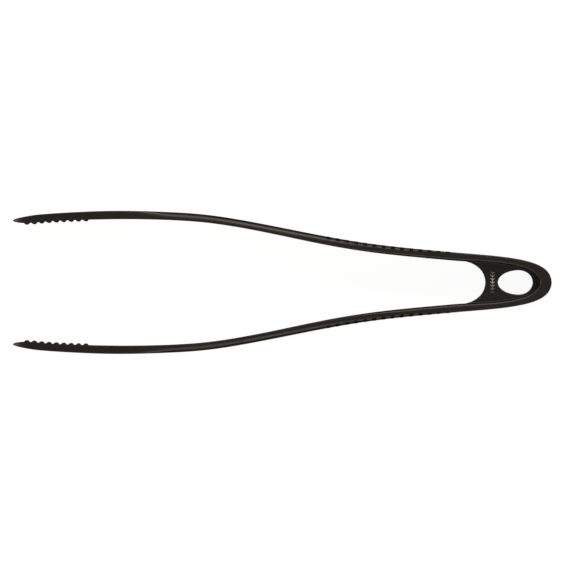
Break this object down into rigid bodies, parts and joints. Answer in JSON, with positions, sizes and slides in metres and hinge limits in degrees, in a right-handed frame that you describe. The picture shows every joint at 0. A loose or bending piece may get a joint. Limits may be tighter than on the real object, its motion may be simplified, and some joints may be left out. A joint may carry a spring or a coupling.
{
  "type": "spring tongs",
  "caption": "Long spring tongs or tweezers with slender bowed arms, a U-shaped sprung tail, a hanging hole in a thin web, soft grip inlays and round-ribbed jaws.",
  "frame": {"origin": "under the middle of the bounding box, on the surface that the tongs lie on", "axes": "+X from the tips to the tail, +Y from the lower to the upper arm, +Z across the width of the band, up from the surface that the tongs lie on"},
  "size_m": [0.2998, 0.0798, 0.02],
  "materials": {
    "body_plastic": "fine satin moulded texture, dark warm grey, near black",
    "grip_rubber": "soft matte black elastomer",
    "relief_plastic": "raised in the mould, slightly smoother than the plate"
  },
  "bodies": {
    "tail": {"tail_loop": "body_plastic", "web_plate": "body_plastic", "web_relief": "relief_plastic"},
    "upper_arm": {"upper_arm": "body_plastic", "upper_grip_strip": "grip_rubber", "upper_jaw_rib_1": "grip_rubber", "upper_jaw_rib_2": "grip_rubber", "upper_jaw_rib_3": "grip_rubber", "upper_jaw_rib_4": "grip_rubber", "upper_jaw_rib_5": "grip_rubber", "upper_jaw_rib_6": "grip_rubber", "upper_jaw_rib_7": "grip_rubber", "upper_jaw_rib_8": "grip_rubber", "upper_jaw_rib_9": "grip_rubber"},
    "lower_arm": {"lower_arm": "body_plastic", "lower_grip_strip": "grip_rubber", "lower_jaw_rib_1": "grip_rubber", "lower_jaw_rib_2": "grip_rubber", "lower_jaw_rib_3": "grip_rubber", "lower_jaw_rib_4": "grip_rubber", "lower_jaw_rib_5": "grip_rubber", "lower_jaw_rib_6": "grip_rubber", "lower_jaw_rib_7": "grip_rubber", "lower_jaw_rib_8": "grip_rubber", "lower_jaw_rib_9": "grip_rubber"}
  },
  "joints": [
    {"name": "upper_arm_squeeze", "type": "hinge", "parent": "tail", "child": "upper_arm", "pos_m": [0.096, 0.01442, 0.01], "axis": [0, 0, 1], "range_deg": [-2, 7.7], "stiffness_Nm_per_rad": 1.7},
    {"name": "lower_arm_squeeze", "type": "hinge", "parent": "tail", "child": "lower_arm", "pos_m": [0.096, -0.01442, 0.01], "axis": [0, 0, -1], "range_deg": [-2, 7.7], "stiffness_Nm_per_rad": 1.7}
  ]
}
